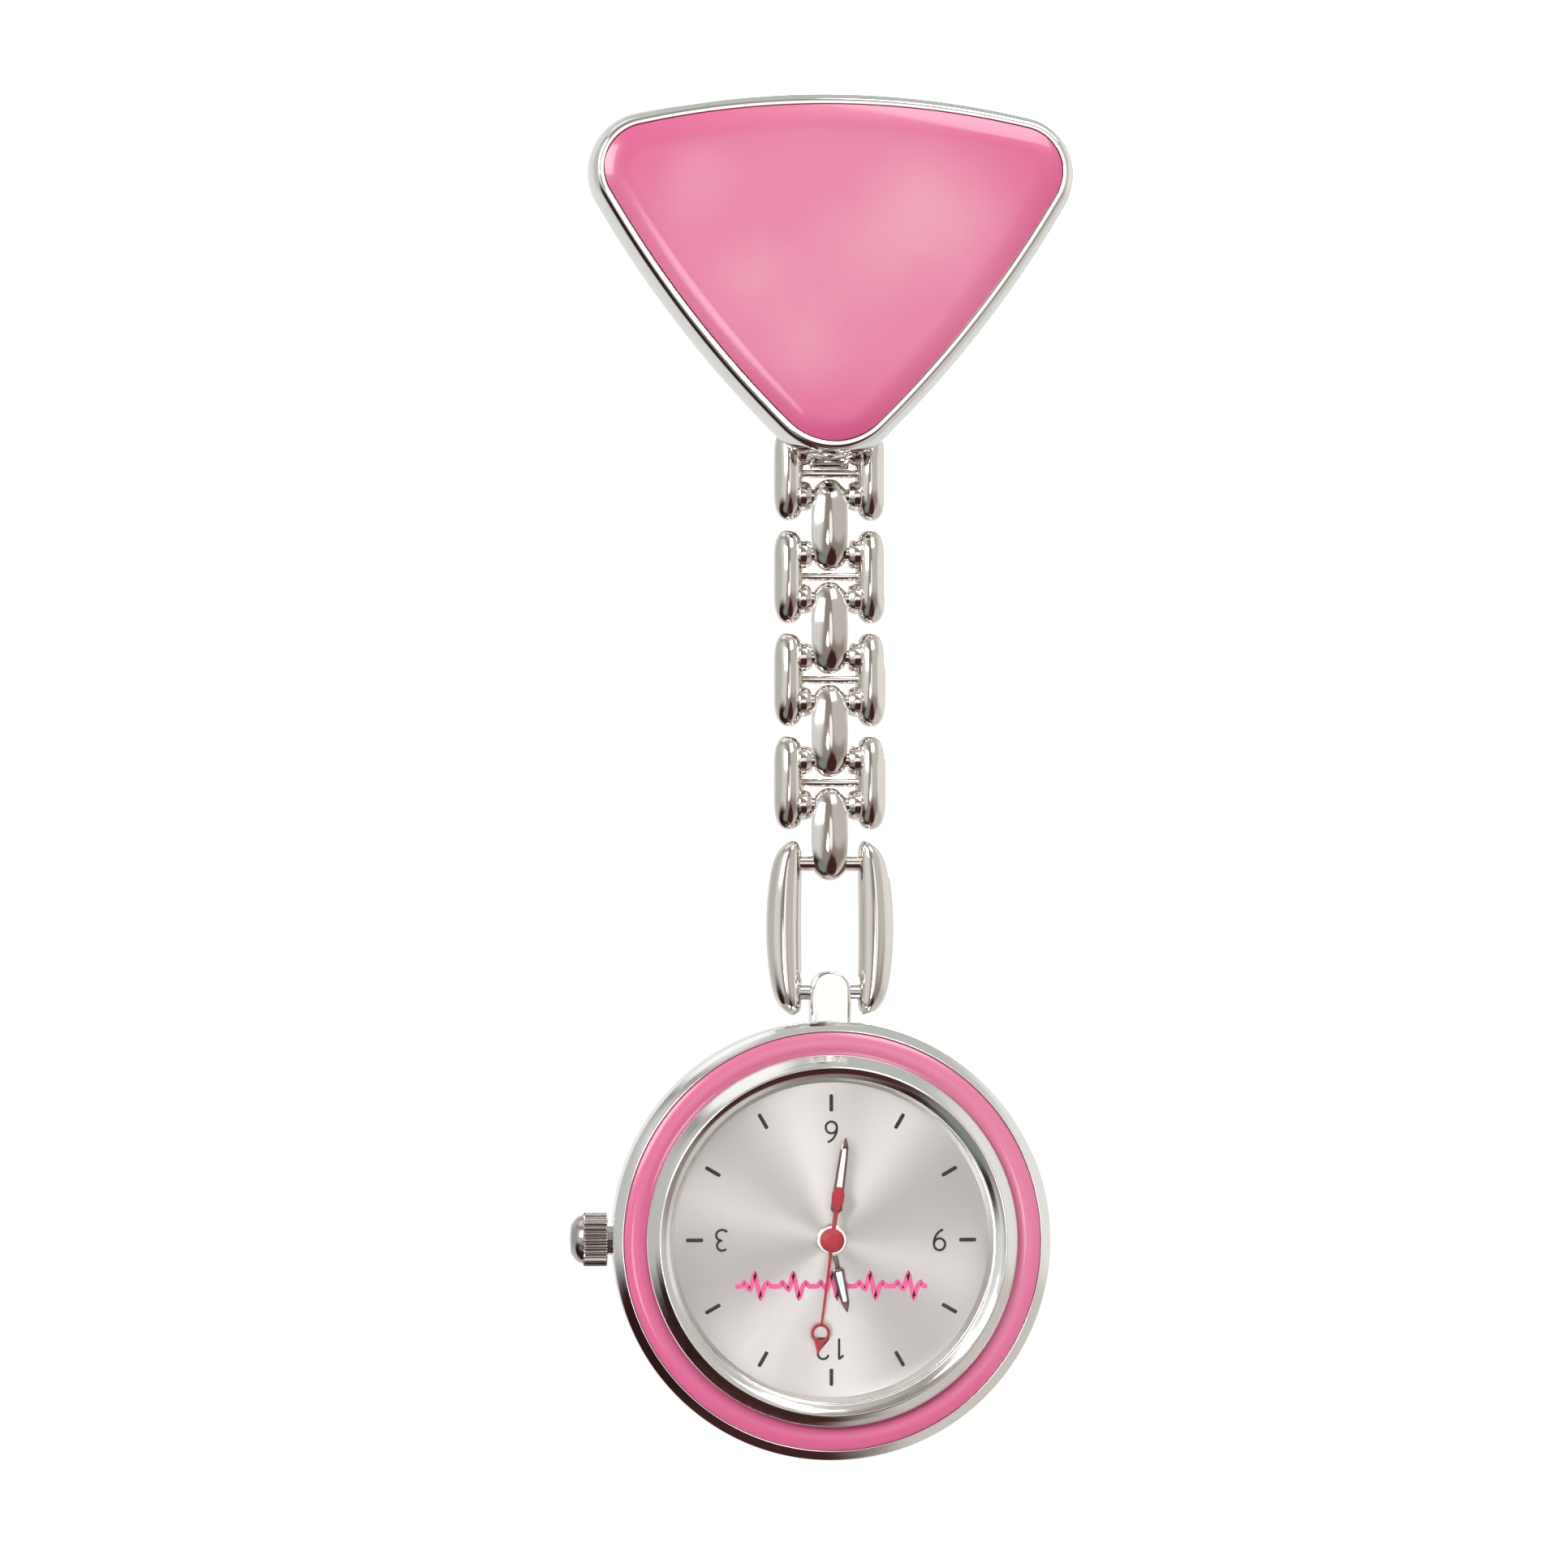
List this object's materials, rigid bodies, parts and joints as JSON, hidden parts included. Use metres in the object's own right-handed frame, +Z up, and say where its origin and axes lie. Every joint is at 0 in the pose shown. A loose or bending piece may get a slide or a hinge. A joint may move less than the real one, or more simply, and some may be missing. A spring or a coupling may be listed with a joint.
{
  "type": "fob watch",
  "caption": "Nurse's fob watch: an enamelled brooch with a needle clasp, a jointed link chain and a round quartz watch that hangs with its dial upside down.",
  "frame": {"origin": "middle of the brooch's needle, behind the brooch", "axes": "+X to the viewer's right, -Y toward the viewer of the dial, +Z up, the watch hanging along -Z"},
  "size_m": [0.0323, 0.009, 0.0876],
  "materials": {
    "chrome": "polished chrome plate",
    "steel": "satin stainless steel",
    "brass": "satin brass",
    "enamel": "glossy pink epoxy enamel",
    "dial_silver": "sunray-brushed silver",
    "hand_silver": "polished nickel plate",
    "hand_red": "gloss red lacquer",
    "holder_plastic": "moulded plastic",
    "gasket": "rubber",
    "clear_gasket": "nylon",
    "coil": "enamelled copper wire",
    "board": "green solder mask",
    "chip": "black potting",
    "cell": "nickel-plated steel",
    "crystal": "clear mineral glass"
  },
  "bodies": {
    "brooch": {"brooch_frame": "chrome", "enamel_panel": "enamel", "pin_base_bar": "steel", "needle_rivet": "steel"},
    "needle": {"brooch_needle": "steel"},
    "safety_catch": {"safety_catch": "steel"},
    "outer_link_1": {"outer_link_1": "chrome"},
    "centre_link_1": {"centre_link_1": "chrome"},
    "outer_link_2": {"outer_link_2": "chrome"},
    "centre_link_2": {"centre_link_2": "chrome"},
    "outer_link_3": {"outer_link_3": "chrome"},
    "centre_link_3": {"centre_link_3": "chrome"},
    "outer_link_4": {"outer_link_4": "chrome"},
    "centre_link_4": {"centre_link_4": "chrome"},
    "long_link": {"long_link": "chrome", "bail_pin": "steel"},
    "watch": {"case_body": "chrome", "enamel_ring": "enamel", "bezel": "chrome", "crystal": "crystal", "crystal_gasket": "clear_gasket", "case_back": "steel", "back_gasket": "gasket", "dial": "dial_silver", "movement_holder": "holder_plastic", "case_tube": "steel", "main_plate": "brass", "train_bridge": "steel", "stator": "steel", "coil_winding": "coil", "coil_core": "steel", "coil_screw_left": "steel", "coil_screw_right": "steel", "circuit_board": "board", "timing_crystal": "cell", "driver_chip": "chip", "battery": "cell", "battery_strap": "steel", "strap_screw": "steel"},
    "crown_slide": {"crown_gasket": "gasket"},
    "crown": {"crown": "chrome", "stem": "steel", "sliding_pinion": "steel"},
    "setting_lever": {"setting_lever": "steel"},
    "minute_hand": {"minute_hand": "hand_silver", "centre_wheel": "brass"},
    "hour_hand": {"hour_hand": "hand_silver", "hour_wheel": "brass"},
    "second_hand": {"second_hand": "hand_red", "seconds_wheel": "brass"},
    "third_wheel": {"third_wheel": "brass"},
    "fifth_wheel": {"fifth_wheel": "brass"},
    "rotor": {"rotor": "steel"},
    "minute_wheel": {"minute_wheel": "brass"}
  },
  "joints": [
    {"name": "needle_hinge", "type": "hinge", "parent": "brooch", "child": "needle", "pos_m": [-0.0106, 0, 0], "axis": [0, 0, 1], "range_deg": [0, 60]},
    {"name": "catch_roll", "type": "hinge", "parent": "brooch", "child": "safety_catch", "pos_m": [0.0106, 0, 0], "axis": [1, 0, 0], "range_deg": [0, 100]},
    {"name": "outer_link_1_hinge", "type": "hinge", "parent": "brooch", "child": "outer_link_1", "pos_m": [0, -0.00085, -0.01634], "axis": [1, 0, 0], "range_deg": [-35, 75]},
    {"name": "centre_link_1_hinge", "type": "hinge", "parent": "outer_link_1", "child": "centre_link_1", "pos_m": [0, -0.00085, -0.01922], "axis": [-1, 0, 0], "range_deg": [-75, 75]},
    {"name": "outer_link_2_hinge", "type": "hinge", "parent": "centre_link_1", "child": "outer_link_2", "pos_m": [0, -0.00085, -0.02299], "axis": [1, 0, 0], "range_deg": [-75, 75]},
    {"name": "centre_link_2_hinge", "type": "hinge", "parent": "outer_link_2", "child": "centre_link_2", "pos_m": [0, -0.00085, -0.02587], "axis": [-1, 0, 0], "range_deg": [-75, 75]},
    {"name": "outer_link_3_hinge", "type": "hinge", "parent": "centre_link_2", "child": "outer_link_3", "pos_m": [0, -0.00085, -0.02964], "axis": [1, 0, 0], "range_deg": [-75, 75]},
    {"name": "centre_link_3_hinge", "type": "hinge", "parent": "outer_link_3", "child": "centre_link_3", "pos_m": [0, -0.00085, -0.03252], "axis": [-1, 0, 0], "range_deg": [-75, 75]},
    {"name": "outer_link_4_hinge", "type": "hinge", "parent": "centre_link_3", "child": "outer_link_4", "pos_m": [0, -0.00085, -0.03629], "axis": [1, 0, 0], "range_deg": [-75, 75]},
    {"name": "centre_link_4_hinge", "type": "hinge", "parent": "outer_link_4", "child": "centre_link_4", "pos_m": [0, -0.00085, -0.03917], "axis": [-1, 0, 0], "range_deg": [-75, 75]},
    {"name": "long_link_hinge", "type": "hinge", "parent": "centre_link_4", "child": "long_link", "pos_m": [0, -0.00085, -0.04294], "axis": [1, 0, 0], "range_deg": [-75, 75]},
    {"name": "bail_hinge", "type": "hinge", "parent": "long_link", "child": "watch", "pos_m": [0, -0.00085, -0.05123], "axis": [-1, 0, 0], "range_deg": [-85, 85]},
    {"name": "crown_pull", "type": "slide", "parent": "watch", "child": "crown_slide", "axis": [-1, 0, 0], "range_m": [0, 0.0007]},
    {"name": "crown_turn", "type": "hinge", "parent": "crown_slide", "child": "crown", "pos_m": [-0.0155, -0.00025, -0.06708], "axis": [-1, 0, 0], "continuous": true},
    {"name": "setting_lever_turn", "type": "hinge", "parent": "watch", "child": "setting_lever", "pos_m": [-0.0074, -0.00085, -0.06518], "axis": [0, 1, 0], "range_deg": [0, 22]},
    {"name": "minute_hand_turn", "type": "hinge", "parent": "watch", "child": "minute_hand", "pos_m": [0, -0.00085, -0.06708], "axis": [0, 1, 0], "continuous": true},
    {"name": "hour_hand_turn", "type": "hinge", "parent": "watch", "child": "hour_hand", "pos_m": [0, -0.00085, -0.06708], "axis": [0, 1, 0], "continuous": true},
    {"name": "second_hand_turn", "type": "hinge", "parent": "watch", "child": "second_hand", "pos_m": [0, -0.00085, -0.06708], "axis": [0, 1, 0], "continuous": true},
    {"name": "third_wheel_turn", "type": "hinge", "parent": "watch", "child": "third_wheel", "pos_m": [0.00216, -0.00085, -0.06629], "axis": [0, 1, 0], "continuous": true},
    {"name": "fifth_wheel_turn", "type": "hinge", "parent": "watch", "child": "fifth_wheel", "pos_m": [-0.00199, -0.00085, -0.06593], "axis": [0, 1, 0], "continuous": true},
    {"name": "rotor_turn", "type": "hinge", "parent": "watch", "child": "rotor", "pos_m": [-0.00288, -0.00085, -0.06403], "axis": [0, 1, 0], "continuous": true},
    {"name": "minute_wheel_turn", "type": "hinge", "parent": "watch", "child": "minute_wheel", "pos_m": [-0.00188, -0.00085, -0.06776], "axis": [0, 1, 0], "continuous": true}
  ],
  "couplings": [
    {"joint": "setting_lever_turn", "follows": "crown_pull", "rad_per_m": 525.71},
    {"joint": "hour_hand_turn", "follows": "minute_hand_turn", "ratio": 0.083333},
    {"joint": "second_hand_turn", "follows": "minute_hand_turn", "ratio": 60},
    {"joint": "third_wheel_turn", "follows": "minute_hand_turn", "ratio": -8},
    {"joint": "fifth_wheel_turn", "follows": "minute_hand_turn", "ratio": -360},
    {"joint": "rotor_turn", "follows": "minute_hand_turn", "ratio": 1800},
    {"joint": "minute_wheel_turn", "follows": "minute_hand_turn", "ratio": -0.33333}
  ]
}
